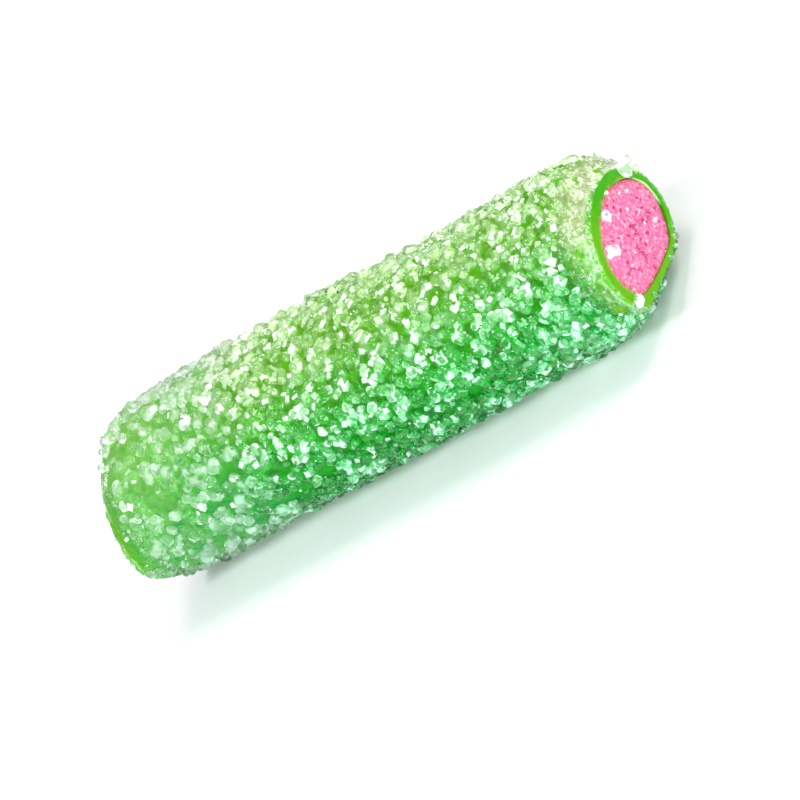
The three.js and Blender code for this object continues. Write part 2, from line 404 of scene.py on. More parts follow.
class Tube:
    """The gummy's form. At a place x along it, the section is an oval |y/w|^e + |z/h|^e = 1, whose half
    width w and half height h pass from those of the body to those of the cut face, and e from 2 to a
    little less."""

    def __init__(self, shape):
        self.half = shape.length / MM / 2
        self.body = np.array([shape.body_width, shape.body_height]) / MM / 2
        plus, minus = np.array(shape.plus_cut) / MM / 2, np.array(shape.minus_cut) / MM / 2
        self.cuts = {1: np.append(plus, CUT_FORMS[1]), -1: np.append(minus, CUT_FORMS[-1])}
        self.cut_wall = shape.cut_wall / MM
        self.middle_wall = shape.middle_wall / MM
        self.relief = shape.relief / MM
        self.rest_height = self.body[1] - SAG

    def pinch(self, x, angle):
        """0 along the middle, rising to 1 at a cut face as a power of the way into the squeezed stretch,
        which is longer on one side of the tube."""
        reach = PINCH_LENGTH * (1 + PINCH_LEAN * np.cos(angle - PINCH_SIDE))
        return np.clip((np.abs(x) - (self.half - reach)) / reach, 0, 1) ** PINCH_POWER

    def wall(self, x):
        """Thickness of the jelly: thin at the cuts, thicker inside."""
        return mix(self.middle_wall, self.cut_wall, self.pinch(x, PINCH_SIDE))

    @staticmethod
    def unevenness(x, angle):
        """Slow swells of the rolled jelly, as a share of its radius: three sine waves over x and the
        angle."""
        return (
            0.011 * np.sin(0.23 * x + 2 * angle + 0.6)
            + 0.008 * np.sin(0.41 * x - angle + 2.1)
            + 0.007 * np.sin(0.57 * x + 3 * angle)
        )

    def point(self, x, angle, depth):
        """The point of the section at x in the direction of angle, a depth under the skin. What reaches
        past the flat underside of a cut face is pressed back on to it, the more the nearer it is to the
        face. The axis leans from one side to the other as a hyperbolic tangent, and nothing goes lower
        than depth above the table."""
        x, angle, depth = np.broadcast_arrays(x, angle, depth)
        squeeze = self.pinch(x, angle)
        thin = THINNED * squeeze * smooth_step(-0.3, 0.9, np.cos(angle - THIN_SIDE))
        depth = depth - thin * np.minimum(depth / self.cut_wall, 1)
        swell = 1 - FAR_END_SWELL * x * (1 - squeeze) / self.half
        cut = np.where((x < 0)[..., None], self.cuts[-1], self.cuts[1])
        cut_width, cut_height, shift, drop, pointed, flat_at = np.moveaxis(cut, -1, 0)
        half_width = mix(self.body[0], cut_width, squeeze) * swell - depth
        half_height = mix(self.body[1], cut_height, squeeze) * swell - depth
        exponent = 2 - pointed * squeeze
        across, up = np.cos(angle), np.sin(angle)
        reach = (np.abs(across) ** exponent + np.abs(up) ** exponent) ** (-1 / exponent)
        reach = reach * (1 + self.unevenness(x, angle))
        y, z = half_width * reach * across, half_height * reach * up
        past = y * math.cos(FLAT_SIDE) + z * math.sin(FLAT_SIDE) - (flat_at - depth)
        pressed = squeeze * (past + np.hypot(past, FLAT_EDGE)) / 2
        offset = -BEND * np.tanh(x / BEND_SPAN)
        y = y - pressed * math.cos(FLAT_SIDE) + BEND_Y * offset + shift * squeeze
        z = z - pressed * math.sin(FLAT_SIDE) + self.rest_height + BEND_Z * offset - drop * squeeze
        return np.stack([x + ORIGIN_X, y + ORIGIN_Y, np.maximum(z, depth)], -1)

    def outward(self, x, angle):
        """The skin's outward direction, from the cross product of small steps round and along the
        tube."""
        x = np.clip(x, -self.half + 0.05, self.half - 0.05)
        along = self.point(x + 0.02, angle, 0) - self.point(x - 0.02, angle, 0)
        around = self.point(x, angle + 0.02, 0) - self.point(x, angle - 0.02, 0)
        normal = np.cross(around, along)
        return normal / np.linalg.norm(normal, axis=-1, keepdims=True)

    def middle(self, x):
        """The middle of the section at x."""
        return (self.point(x, 0.0, 1.0) + self.point(x, np.pi, 1.0)) / 2


def stations(low, high, steps):
    """Places from low to high, closer together near both ends: mostly even, partly a sine."""
    even = np.linspace(-1, 1, steps + 1)
    return mix(low, high, (np.sin(even * np.pi / 2) * 0.45 + even * 0.55 + 1) / 2)


def ring_quads(rows, around, closed=False):
    """The quads between rows of a grid that closes round the tube, and from the last row to the first if
    it is closed along too. Their corners run so that the outside faces out where x rises with the row."""
    i = np.arange(rows if closed else rows - 1)[:, None]
    k = np.arange(around)[None, :]
    here, there = i * around, ((i + 1) % rows) * around
    corners = (here + k, here + (k + 1) % around, there + (k + 1) % around, there + k)
    return np.stack(corners, -1).reshape(-1, 4)


def mesh_piece(name, points, faces, smooth, attributes=None):
    """An object whose mesh has these points, in millimetres, faces given as arrays of corner numbers, and
    one number for each point under each attribute's name."""
    mesh = bpy.data.meshes.new(name)
    mesh.vertices.add(len(points))
    mesh.vertices.foreach_set("co", (points * MM).astype(np.float32).ravel())
    corners = np.concatenate([f.ravel() for f in faces]).astype(np.int32)
    sides = np.concatenate([np.full(len(f), f.shape[1]) for f in faces])
    starts = (np.cumsum(sides) - sides).astype(np.int32)
    mesh.loops.add(len(corners))
    mesh.loops.foreach_set("vertex_index", corners)
    mesh.polygons.add(len(sides))
    mesh.polygons.foreach_set("loop_start", starts)
    mesh.polygons.foreach_set("use_smooth", np.full(len(sides), smooth))
    mesh.update(calc_edges=True)
    if mesh.validate():
        raise RuntimeError(f"the mesh of {name} has faulty faces")
    for attribute, values in (attributes or {}).items():
        layer = mesh.attributes.new(attribute, "FLOAT", "POINT")
        layer.data.foreach_set("value", np.asarray(values, np.float32).ravel())
    piece = bpy.data.objects.new(name, mesh)
    bpy.context.scene.collection.objects.link(piece)
    return piece


def jelly_rows(tube):
    """The jelly's rows of points as x and depth: along the skin, round the rim, over the cut face, into
    the bore and back along it, and so over the other end."""
    shoulder = tube.half - RIM_ROUND
    turn = np.linspace(0, np.pi / 2, 5)[1:]
    rim = np.stack([shoulder + RIM_ROUND * np.sin(turn), RIM_ROUND * (1 - np.cos(turn))], -1)
    face_depth = np.linspace(RIM_ROUND, tube.cut_wall - RIM_ROUND / 2, 11)[1:]
    face = np.stack([np.full_like(face_depth, tube.half), face_depth], -1)
    edge = np.array([[tube.half - RIM_ROUND / 4, tube.cut_wall - RIM_ROUND / 8], [shoulder, tube.cut_wall]])
    end = np.concatenate([rim, face, edge])
    skin_x = stations(-shoulder, shoulder, 300)
    bore_x = stations(-shoulder, shoulder, 24)[::-1][1:-1]
    rows = np.concatenate([
        np.stack([skin_x, np.zeros_like(skin_x)], -1),
        end,
        np.stack([bore_x, tube.wall(bore_x)], -1),
        (end * [-1, 1])[::-1],
    ])
    return rows[:, 0:1], rows[:, 1:2]


def covered(tube, rows, around, crystal_x, crystal_angle, sizes):
    """How far each point of the skin lies under a coarse crystal: 1 within a crystal's round footprint
    and 0 outside it, on a grid of rows at these x and of points round the tube."""
    radius = tube.body.mean()
    own_row = np.searchsorted(rows, crystal_x)
    own_column = np.round(crystal_angle * around / (2 * np.pi)).astype(int)
    cover = np.zeros((len(rows), around))
    for row_step in range(-5, 6):
        row = np.clip(own_row + row_step, 0, len(rows) - 1)
        for column_step in range(-3, 4):
            column = own_column + column_step
            aside = (column * 2 * np.pi / around - crystal_angle) * radius
            away = np.hypot(rows[row] - crystal_x, aside) / (sizes[:, :2].mean(1) / 2)
            np.maximum.at(cover, (row, column % around), 1 - smooth_step(0.75, 1.2, away))
    return cover


def jelly_marks(tube, sugar, points, x, angle, depth):
    """Where the jelly looks in which way, each as a number from 0 to 1 for each point: frost is dull and
    dusty, ring wet and saturated, lip the pale edges that catch the light, deep the ring's shaded part,
    bore_sunlit its sunlit edge at the bore, painted as light, under what lies under a crystal, while the
    gaps between crystals get painted shade, bare what no sugar covers, and near all but the far end.
    Their borders are smooth steps of the distance from an edge, made uneven by random fields."""
    skin, cut = skin_and_cut(tube, x, depth)
    from_bore = tube.cut_wall - depth + tube.half - np.abs(x)
    beside_cut = np.abs(x) > tube.half - 1.5
    end = beside_cut * (depth <= tube.cut_wall)
    bare_places = bareness(tube, x, angle)
    bare = skin * bare_places
    far_bare = smooth_step(0.87, 0.97, toward(angle, 152)) * smooth_step(*FAR_BARE, x)

    ring_width = 1.05 + 0.22 * np.cos(angle - math.radians(140))
    uneven_edge = from_bore + 0.05 * waves(points, 1.1, 6)
    wet = end * (1 - smooth_step(ring_width - 0.06, ring_width + 0.06, uneven_edge))
    frost = skin * smooth_step(tube.half - 2.6, tube.half - 0.9, np.abs(x)) * np.ones_like(angle)
    frost *= (1 - 0.8 * bare_places) * np.where(x < 0, 0.6, 1.0)
    frost = np.maximum(frost, 0.5 * skin * smooth_step(-12.5, -20, x))
    frost = np.where(beside_cut, np.maximum(frost, 0.5) * (1 - wet), frost)
    frost = frost * (1 - 0.9 * bare) * (1 - 0.8 * far_bare)

    wet = np.maximum(wet, 0.6 * cut)
    deep = wet * smooth_step(0.45, 0.8, toward(angle, 25))
    # Painted light: the ring's sunlit edge by the bore.
    bore_sunlit = wet * (1 - smooth_step(0.04, 0.3, from_bore + 0.06 * waves(points, 0.8, 8)))
    bore_sunlit = bore_sunlit * smooth_step(0.45, 0.75, toward(angle, 110))
    ring = np.maximum.reduce([wet, 0.85 * bare * (x > 22.0), 0.8 * skin * far_bare])

    lip = smooth_step(0.93, 0.97, depth / tube.cut_wall) * (np.abs(x) > tube.half - 2.5)
    lip = lip * smooth_step(0.945, 0.975, toward(angle, -8))
    crease = end * np.exp(-((from_bore - ring_width - 0.15) / 0.13) ** 2)
    crease = crease * mix(0.1, 0.42, smooth_step(0.1, 0.9, toward(angle, 165)))
    lip = np.maximum(lip, crease * smooth_step(-1.2, 0.6, waves(points, 1.3, 7)))

    # Painted shade: the jelly between the coarse crystals takes darker colours than the jelly under them.
    under = np.zeros_like(frost)
    skin_rows = np.flatnonzero(depth[:, 0] == 0)
    under[skin_rows] = covered(tube, x[skin_rows, 0], JELLY_AROUND, *coarse_places(tube, sugar))
    near = smooth_step(*FAR_LOOK, x) * np.ones_like(angle)
    return {
        "frost": frost, "ring": ring, "lip": lip, "deep": deep, "near": near, "bore_sunlit": bore_sunlit, "under": under,
        "bare": bare,
    }


def skin_and_cut(tube, x, depth):
    """1 on the tube's skin, and 1 on its cut faces inside their rounded rim, with smooth steps beside
    them."""
    skin = 1 - smooth_step(0, RIM_ROUND, depth)
    cut = smooth_step(RIM_ROUND, 2 * RIM_ROUND, depth) * (np.abs(x) > tube.half - RIM_ROUND)
    return skin, cut


def build_jelly(tube, sugar):
    """The jelly as one closed grid of rows round the tube. Its skin moves in and out by random fields
    with dimples of 0.55 and 1.3 mm, and its cut faces bulge as half a sine wave across the ring."""
    x, depth = jelly_rows(tube)
    angle = np.arange(JELLY_AROUND)[None, :] * 2 * np.pi / JELLY_AROUND
    points = tube.point(x, angle, depth)
    skin, cut = skin_and_cut(tube, x, depth)
    dimples = 0.6 * waves(points, 1.3, 3) + 0.55 * waves(points, 0.55, 4)
    points = points + tube.outward(x, angle) * (tube.relief * skin * dimples)[..., None]
    bulge = np.sin(np.pi * np.clip((depth - RIM_ROUND) / (tube.cut_wall - RIM_ROUND), 0, 1))
    points[..., 0] += cut * (CUT_RELIEF * waves(points, 1.6, 5) + np.sign(x) * CUT_BULGE * bulge)
    points[..., 2] = np.maximum(points[..., 2], 0)
    marks = jelly_marks(tube, sugar, points, x, angle, depth)
    quads = ring_quads(len(x), JELLY_AROUND, closed=True)
    return mesh_piece("jelly_tube", points.reshape(-1, 3), [quads], True, marks)


def crack(places, ends):
    """1 on a line between two points of the core's face and less beside it, by a bell curve of the
    distance, which a random field of 0.5 mm makes uneven."""
    start, end = np.reshape(ends, (2, 2))
    away = places[..., 1:] - start
    along = np.clip(away @ (end - start) / np.sum((end - start) ** 2), 0, 1)
    away = away - along[..., None] * (end - start)
    distance = np.hypot(away[..., 0], away[..., 1]) + 0.05 * waves(places, 0.5, 26)
    return np.exp(-(distance / 0.13) ** 2)


def core_face(tube, side, angle):
    """A cut end of the core as rings of points from its edge in, and how far each point is torn out and
    lies in the deeper pink border, which is partly the core's redder edge and partly painted shade of its
    recess, weaker on the lit side and with shaded blotches on the other. The face is a cubic dome. A
    random field of 0.34 and 0.8 mm grains, pits and cracks moves it along the tube, least at the edge."""
    share = (1 - np.arange(CORE_RINGS) / CORE_RINGS)[:, None]
    edge = tube.point(side * tube.half, angle, tube.cut_wall - CORE_TUCK)
    middle = tube.middle(side * tube.half)
    points = mix(middle, edge, share[..., None])
    grains = 0.5 * waves(points, 0.8, 21) + 0.5 * waves(points, 0.34, 22)
    pits = smooth_step(1.4, 2.2, waves(points, 0.55, 23) + 0.5 * waves(points, 2.2, 24))
    for crack_side, *ends in CRACKS:
        if crack_side == side:
            cracked = crack(points - middle, ends) * mix(0.4, 1, smooth_step(-1, 0.5, grains))
            pits = np.maximum(pits, cracked)
    torn = TORN_DEPTH * (1 - share ** 8) * (np.abs(grains) - 0.6 - 0.8 * pits)
    dome = tube.half - CORE_RECESS + CORE_DOME * (1 - share ** 3)
    points[..., 0] = side * (dome + torn) + ORIGIN_X
    # Painted shade: the border darkens the recessed edge and blotches, less on the side that faces the
    # light.
    lit = smooth_step(0.65, 0.975, toward(angle, -55))
    blotches = 0.22 * smooth_step(0, 1.6, waves(points, 2.4, 25))
    border_and_shade = share ** 9 * (1 - 0.6 * lit) + blotches * (1 - lit)
    return points, torn / TORN_DEPTH - 1.5 * pits, border_and_shade


def build_core(tube):
    """The core as a grid of rows round the tube, closed by a point in the middle of each cut end."""
    angle = np.arange(CORE_AROUND) * 2 * np.pi / CORE_AROUND
    first, first_torn, first_border_and_shade = core_face(tube, -1, angle)
    last, last_torn, last_border_and_shade = core_face(tube, 1, angle)
    end = tube.half - CORE_RECESS
    along = stations(-end, end, 20)[1:-1, None]
    rod = tube.point(along, angle[None, :], tube.wall(along) - CORE_TUCK)
    rows = np.concatenate([first[::-1], rod, last])
    torn = np.concatenate([first_torn[::-1], np.zeros(rod.shape[:2]), last_torn])
    border_and_shade = np.concatenate([first_border_and_shade[::-1], np.ones(rod.shape[:2]), last_border_and_shade])
    poles = np.stack([first[-1].mean(0), last[-1].mean(0)])
    points = np.concatenate([rows.reshape(-1, 3), poles])
    k = np.arange(CORE_AROUND)
    after = (k + 1) % CORE_AROUND
    last_row = (len(rows) - 1) * CORE_AROUND
    fans = np.concatenate([
        np.stack([np.full_like(k, len(points) - 2), after, k], -1),
        np.stack([np.full_like(k, len(points) - 1), last_row + k, last_row + after], -1),
    ])
    marks = {"torn": np.append(torn, [0, 0]), "border_and_shade": np.append(border_and_shade, [0, 0])}
    return mesh_piece("pink_core", points, [ring_quads(len(rows), CORE_AROUND), fans], True, marks)


def crystal_template(chamfered):
    """A block's corners as signs, which of each corner's coordinates reach the full half size, and its
    faces. A chamfered block has three points at each corner, one on each of the faces that meet there."""
    signs = np.array([[a, b, c] for a in (-1, 1) for b in (-1, 1) for c in (-1, 1)], float)
    if not chamfered:
        full = np.ones_like(signs)
        faces = [np.flatnonzero(signs[:, axis] == side) for axis in range(3) for side in (-1, 1)]
        corners = signs
    else:
        full = np.tile(np.eye(3), (8, 1))
        corners = np.repeat(signs, 3, 0)
        flat = [
            np.flatnonzero((corners[:, axis] == side) & (full[:, axis] == 1))
            for axis in range(3) for side in (-1, 1)
        ]
        edges = [
            np.flatnonzero(
                (corners[:, a] == p) & (corners[:, b] == q) & ((full[:, a] == 1) | (full[:, b] == 1))
            )
            for a, b in ((0, 1), (1, 2), (0, 2)) for p in (-1, 1) for q in (-1, 1)
        ]
        tips = [np.arange(3) + 3 * i for i in range(8)]
        faces = flat + edges + tips
    places = corners * (1 - 0.3 * (1 - full))
    return corners, full, [turned_outwards(places, face) for face in faces]


def turned_outwards(places, face):
    """A face's corners in order round its middle, counter-clockwise seen from outside the block."""
    corners = places[face]
    middle = corners.mean(0)
    first = corners[0] - middle
    second = np.cross(middle, first)
    angle = np.arctan2((corners - middle) @ second, (corners - middle) @ first * np.linalg.norm(middle))
    return face[np.argsort(angle)]


def turns(rng, count, tilt):
    """Turn matrices: a random spin about the third axis, then a lean away from it of about tilt in a
    random direction."""
    spin = rng.uniform(0, 2 * np.pi, count)
    lean = np.abs(rng.normal(0, tilt, count))
    towards = rng.uniform(0, 2 * np.pi, count)
    zero, one = np.zeros(count), np.ones(count)
    spun = np.array([
        [np.cos(spin), -np.sin(spin), zero],
        [np.sin(spin), np.cos(spin), zero],
        [zero, zero, one],
    ])
    c, s = np.cos(lean), np.sin(lean)
    ax, ay = np.cos(towards), np.sin(towards)
    leant = np.array([
        [c + ax * ax * (1 - c), ax * ay * (1 - c), ay * s],
        [ax * ay * (1 - c), c + ay * ay * (1 - c), -ax * s],
        [-ay * s, ax * s, c],
    ])
    return np.einsum("ijn,jkn->nik", leant, spun)


def lying_on(outward):
    """Matrices whose third column is the outward direction and whose first lies near the tube's axis."""
    along = np.array(FIRST_EDGE) - outward * (outward @ np.array(FIRST_EDGE))[:, None]
    along /= np.linalg.norm(along, axis=1, keepdims=True)
    return np.stack([along, np.cross(outward, along), outward], -1)


def lit_side_share(places):
    """0 on the tube's low side, which is painted as shaded, and 1 on its high side, which is painted as
    lit, by the distance along a slanting direction from its middle."""
    return smooth_step(*LIT_SIDE_RANGE, (places - TUBE_MIDDLE) @ np.array(LIT_SIDE_DIRECTION))


def whiter(places):
    """How much whiter or clearer the sugar is at each place: the sum of a bell curve for each of
    WHITER_PATCHES."""
    x, angle = places[:, 0] - ORIGIN_X, np.arctan2(places[:, 2] - PATCH_AXIS, places[:, 1])
    more = np.zeros(len(places))
    for middle_x, degrees, half_length, half_width, amount in WHITER_PATCHES:
        along = (x - middle_x) / half_length
        across = angle_from(angle, degrees) / math.radians(half_width)
        more += amount * np.exp(-along ** 2 - across ** 2)
    return more


def facet_whiteness(places, own, faces, chamfered, haze, rim, rng):
    """How white each facet of each crystal is, one array for each face of the template. Its six large
    facets show its haze, but they are dull at random where the crystal is frosted, and white where they
    glint, as painted highlights. The small facets on its edges and tips are whiter at random, and about
    as white as rim at least, partly as painted highlights on the rims. The low side, painted as shaded,
    has less haze and, away from the shown cut, fewer white edges. WHITER_PATCHES have more or less of
    both, and the far end is less white."""
    shown, far = smooth_step(11, 19, places[:, 0]), smooth_step(-6, -17, places[:, 0])
    more = whiter(places)
    # Painted light and shade: the low side gets less haze and fewer white edges.
    side = np.clip(lit_side_share(places) + more, 0, 1)
    cloud = mix(*haze, smooth_step(0.3, 1.0, own)) * mix(0.15, 1.0, side * mix(1.0, 0.75, far))
    cloud = cloud + 0.05 * side * waves(places, 2.2, 51)
    frosted = FROSTED * (1 + 0.2 * (1 - side) + far) * np.maximum(0, 1 + 2.2 * more)
    milky = chamfered & (own > 1 - frosted)
    side = np.maximum(side, 0.85 * shown)
    whiteness = []
    for number in range(len(faces)):
        if number < 6:
            # Painted highlights: white glints on a share of the large facets.
            glint = chamfered and rng.uniform(0, 1, len(own)) < PAINTED_GLINTS
            dull = rng.uniform(0.1, 0.8, len(own)) + 0.15 * (1 - side) + 0.6 * np.minimum(more, 0)
            white = np.where(glint, 1.0, np.where(milky, dull, cloud))
        else:
            # Partly painted highlights: white edges, fewer on the low side.
            edge = rng.uniform(0, 1, len(own)) ** mix(5.0, 0.55, side) * mix(0.35, 0.9, own)
            edge = np.where(milky, rng.uniform(0.2, 0.9, len(own)), edge)
            white = np.maximum.reduce([edge, cloud, rim * rng.uniform(0.7, 1.1, len(own))])
        whiteness.append(white * (1 - FAR_LESS_WHITE * far))
    return np.concatenate(whiteness)


def crystals(
    name, places, outward, sizes, rng, materials, tilt, sunk, haze, chamfer=None, rim=0.0, tint=1.0
):
    """One mesh of many blocks. Each has its three sizes from sizes, and bevels of a share of the least
    one where chamfer gives a range for it. It is skewed a little as sugar is, turned at random, set on
    its place with a share of its height sunk, and lifted where it would go below the table. Each facet
    has the kind of sugar for its whiteness. A crystal's own random number, its tint, and how far it lies
    from the far end and on the crown of the shown side are marks for the material."""
    count = len(places)
    corners, full, faces = crystal_template(chamfer is not None)
    half = sizes[:, None, :] / 2
    bevel = np.zeros(count) if chamfer is None else sizes.min(1) * rng.uniform(*chamfer, count)
    local = corners * (half - bevel[:, None, None] * (1 - full))
    local *= 1 + 0.07 * rng.normal(size=local.shape)
    local[..., 0] += rng.uniform(-0.3, 0.3, (count, 1)) * local[..., 2]
    turn = lying_on(outward) @ turns(rng, count, tilt)
    height = np.abs(turn[:, :, 2] * sizes[:, 2:3]).sum(1)
    lift = (0.5 - rng.uniform(*sunk, count)) * np.minimum(height, sizes[:, 2])
    points = np.einsum("nij,nkj->nki", turn, local) + (places + outward * lift[:, None])[:, None, :]
    points[..., 2] += np.maximum(0, -points[..., 2].min(1))[:, None]
    own = rng.uniform(0, 1, count)
    x, y, z = places.T
    crown = smooth_step(-3.8, -1.2, y) * smooth_step(6.5, 9.0, z) * smooth_step(-12, -5, x)
    marks = {"grain": own, "tint": tint * np.ones(count), "near": smooth_step(*FAR_LOOK, x), "crown": crown}
    start = (np.arange(count) * len(corners))[:, None]
    piece = mesh_piece(
        name, points.reshape(-1, 3), [start + face for face in faces], chamfer is not None,
        {key: np.repeat(values, len(corners)) for key, values in marks.items()},
    )
    whiteness = facet_whiteness(places, own, faces, chamfer is not None, haze, rim, rng)
    kinds = np.searchsorted([least for _, _, least in SUGAR_KINDS], whiteness, side="right") - 1
    used = np.unique(kinds)
    for kind in used:
        piece.data.materials.append(materials[kind])
    piece.data.polygons.foreach_set("material_index", np.searchsorted(used, kinds).astype(np.int32))
    return piece


def spread(tube, spacing, reach, rng):
    """Places over the skin in rows round the tube, every other row half a step on, each moved at random
    by up to 0.45 of the spacing. They run from -reach to reach along it."""
    girth = np.pi * tube.body.sum()
    rows = int(2 * reach / (spacing * math.sqrt(0.75)))
    around = int(girth / spacing)
    i, k = np.meshgrid(np.arange(rows), np.arange(around), indexing="ij")
    play = rng.uniform(-0.45, 0.45, (2, rows, around))
    x = mix(-reach, reach, (i + 0.5 + play[0]) / rows)
    angle = (k + 0.5 * (i % 2) + play[1]) * 2 * np.pi / around
    return x.ravel(), angle.ravel()


def bareness(tube, x, angle):
    """How bare of sugar a place on the skin is, 0 to 1: bare where a random field of 1.5 mm patches is
    high, and in BARE_PATCHES, whose outline is an uneven ellipse."""
    points = tube.point(x, angle, 0)
    bare = smooth_step(1.7, 2.1, waves(points, 1.5, 31) + 0.35 * waves(points, 6.0, 32))
    unevenness = 0.15 * waves(points, 0.9, 33)
    for middle_x, degrees, half_length, half_width in BARE_PATCHES:
        across = angle_from(angle, degrees) * tube.body.mean() / half_width
        away = np.hypot((x - middle_x) / half_length, across)
        bare = np.maximum(bare, 1 - smooth_step(0.8, 1.15, away + unevenness))
    return bare


def block_sizes(rng, count, usual, low, high):
    """Three sizes for each block: its own size, spread about the usual one and held between low and high
    times that, and sides that are longer, middling and shorter than it."""
    size = np.clip(usual * np.exp(rng.normal(0, 0.24, count)), low * usual, high * usual)
    return size[:, None] * np.stack([
        rng.uniform(1.0, 1.3, count), rng.uniform(0.85, 1.1, count), rng.uniform(0.75, 1.0, count)
    ], -1)


def coarse_places(tube, sugar):
    """Where the coarse crystals lie, as x and angle, and their sizes. They are missing beside the cuts
    and in bare patches, fewer in places at the far end, smaller towards the cuts, and a little larger at
    the far end and low down near the shown cut."""
    rng = np.random.default_rng(sugar.seed + 1)
    x, angle = spread(tube, sugar.coarse_spacing / MM, tube.half - 1.0, rng)
    places = tube.point(x, angle, 0)
    thin = smooth_step(-12, -19, x) * smooth_step(-0.8, 0.1, waves(places, 4.0, 41)) * 0.6
    low = smooth_step(0.72, 0.85, toward(angle, 240))
    left = smooth_step(0.85, 1.0, toward(angle, 140))
    under = smooth_step(0.6, 0.75, toward(angle, 275))
    clear_end = tube.half - 1.2 - 0.7 * left * (1 - low) + 0.6 * low + 0.9 * under * (1 - low)
    ends = 0.95 * smooth_step(clear_end - 0.9, clear_end, np.abs(x))
    kept = rng.uniform(0, 1, len(x)) > np.maximum.reduce([bareness(tube, x, angle), thin, ends])
    x, angle = x[kept], angle[kept]
    sizes = block_sizes(rng, len(x), sugar.coarse_size / MM, 0.6, 1.3)
    sizes *= 1 - 0.3 * smooth_step(tube.half - 3.5, tube.half - 1.5, np.abs(x))[:, None]
    low_right = smooth_step(12, 17, x) * smooth_step(0.75, 0.9, toward(angle, 190))
    sizes *= 1 + 0.15 * low_right[:, None] + 0.12 * smooth_step(-11, -17, x)[:, None]
    return x, angle, sizes


def coarse_sugar(tube, sugar, rng, materials):
    """The coarse crystals over the skin, with bevelled edges."""
    x, angle, sizes = coarse_places(tube, sugar)
    return crystals(
        "coarse_sugar", tube.point(x, angle, 0), tube.outward(x, angle), sizes, rng, materials,
        tilt=0.35, sunk=(0.11, 0.48), haze=(0.11, 0.36), chamfer=(0.24, 0.4),
    )


def fine_sugar(tube, sugar, rng, materials):
    """Fine crystals between the coarse ones, fewer beside the shown cut and at the far end, and smaller
    towards both cuts."""
    x, angle = spread(tube, sugar.fine_spacing / MM, tube.half - 0.35, rng)
    ends = 0.8 * smooth_step(tube.half - 2.0, tube.half - 1.0, x)
    far = 0.8 * smooth_step(-10, -16, x)
    kept = rng.uniform(0, 1, len(x)) > np.maximum.reduce([0.92 * bareness(tube, x, angle), ends, far])
    x, angle = x[kept], angle[kept]
    sizes = block_sizes(rng, len(x), sugar.fine_size / MM, 0.5, 1.5)
    sizes *= 1 - 0.35 * smooth_step(tube.half - 2.6, tube.half - 1.0, np.abs(x))[:, None]
    return crystals(
        "fine_sugar", tube.point(x, angle, 0), tube.outward(x, angle), sizes, rng, materials,
        tilt=0.5, sunk=(0.3, 0.7), haze=(0.04, 0.27), tint=1.4,
    )


def rim_dust(tube, sugar, rng, materials):
    """Dust on the squeezed stretch beside each cut, thickest at the rim and more of it at the shown
    one."""
    count = sugar.dust_grains
    side = rng.choice([-1, 1], count, p=[0.35, 0.65])
    x = side * (tube.half - 0.03 - 2.4 * rng.uniform(0, 1, count) ** 1.4)
    angle = rng.uniform(0, 2 * np.pi, count)
    kept = rng.uniform(0, 1, count) > 0.9 * bareness(tube, x, angle)
    x, angle = x[kept], angle[kept]
    sizes = block_sizes(rng, len(x), sugar.dust_size / MM, 0.5, 1.8)
    return crystals(
        "rim_dust", tube.point(x, angle, 0), tube.outward(x, angle), sizes, rng, materials,
        tilt=0.6, sunk=(0.4, 0.7), haze=(0.15, 0.45), tint=0.3,
    )


def cut_middles(tube, side):
    """The middle of the cut face on each side that is given as -1 or 1, and the direction out of it."""
    middles = np.where((side < 0)[:, None], tube.middle(-tube.half), tube.middle(tube.half))
    return middles, np.stack([side, 0 * side, 0 * side], -1).astype(float)


def core_sparkles(tube, sugar, rng, materials):
    """Grains that glint on both cut ends of the core, at random places of its oval."""
    count = 2 * sugar.sparkles
    side = np.repeat([-1, 1], sugar.sparkles)
    share = np.sqrt(rng.uniform(0, 1, count)) * 0.97
    angle = rng.uniform(0, 2 * np.pi, count)
    edge = tube.point(side * tube.half, angle, tube.cut_wall)
    middles, outward = cut_middles(tube, side)
    places = mix(middles, edge, share[:, None])
    places[:, 0] = side * (tube.half - CORE_RECESS + CORE_DOME * (1 - share ** 3)) + ORIGIN_X
    usual, least, largest = SPARKLE_SIZES
    sizes = block_sizes(rng, count, usual, least / usual, largest / usual)
    return crystals(
        "core_sparkles", places, outward, sizes, rng, materials,
        tilt=0.7, sunk=(0.2, 0.6), haze=(0.3, 1.0), tint=0.0,
    )


def face_crystals(tube, rng, materials):
    """The few coarse crystals that stick to the cut faces, each at its own place."""
    side, y, z, size, on_core, green = np.array(FACE_CRYSTALS, float).T
    middles, outward = cut_middles(tube, side)
    places = middles + np.stack([-side * on_core * (CORE_RECESS - CORE_DOME), y, z], -1)
    # Painted highlights: rim gives the white crystals white edges.
    return crystals(
        "face_crystals", places, outward, size[:, None] * np.array([1.0, 0.85, 0.8]), rng, materials,
        tilt=0.5, sunk=(0.25, 0.45), haze=(0.45 - 0.25 * green, 0.75 - 0.3 * green),
        chamfer=(0.26, 0.38), rim=0.8 * (1 - green), tint=green,
    )


def fill(tree, node, inputs):
    """Each named or numbered input of the node linked to a socket or set to a value."""
    for key, value in inputs.items():
        if isinstance(value, bpy.types.NodeSocket):
            tree.links.new(value, node.inputs[key])
        else:
            node.inputs[key].default_value = value


def put(tree, kind, inputs, **settings):
    """A node of a kind with its settings and its inputs."""
    node = tree.nodes.new(kind)
    for key, value in settings.items():
        setattr(node, key, value)
    fill(tree, node, inputs)
    return node


def new_material(name):
    """A material with an empty node tree, its output and its Principled shader."""
    material = bpy.data.materials.new(name)
    material.use_nodes = True
    tree = material.node_tree
    tree.nodes.clear()
    output = tree.nodes.new("ShaderNodeOutputMaterial")
    shader = tree.nodes.new("ShaderNodeBsdfPrincipled")
    tree.links.new(shader.outputs["BSDF"], output.inputs["Surface"])
    return material, tree, shader


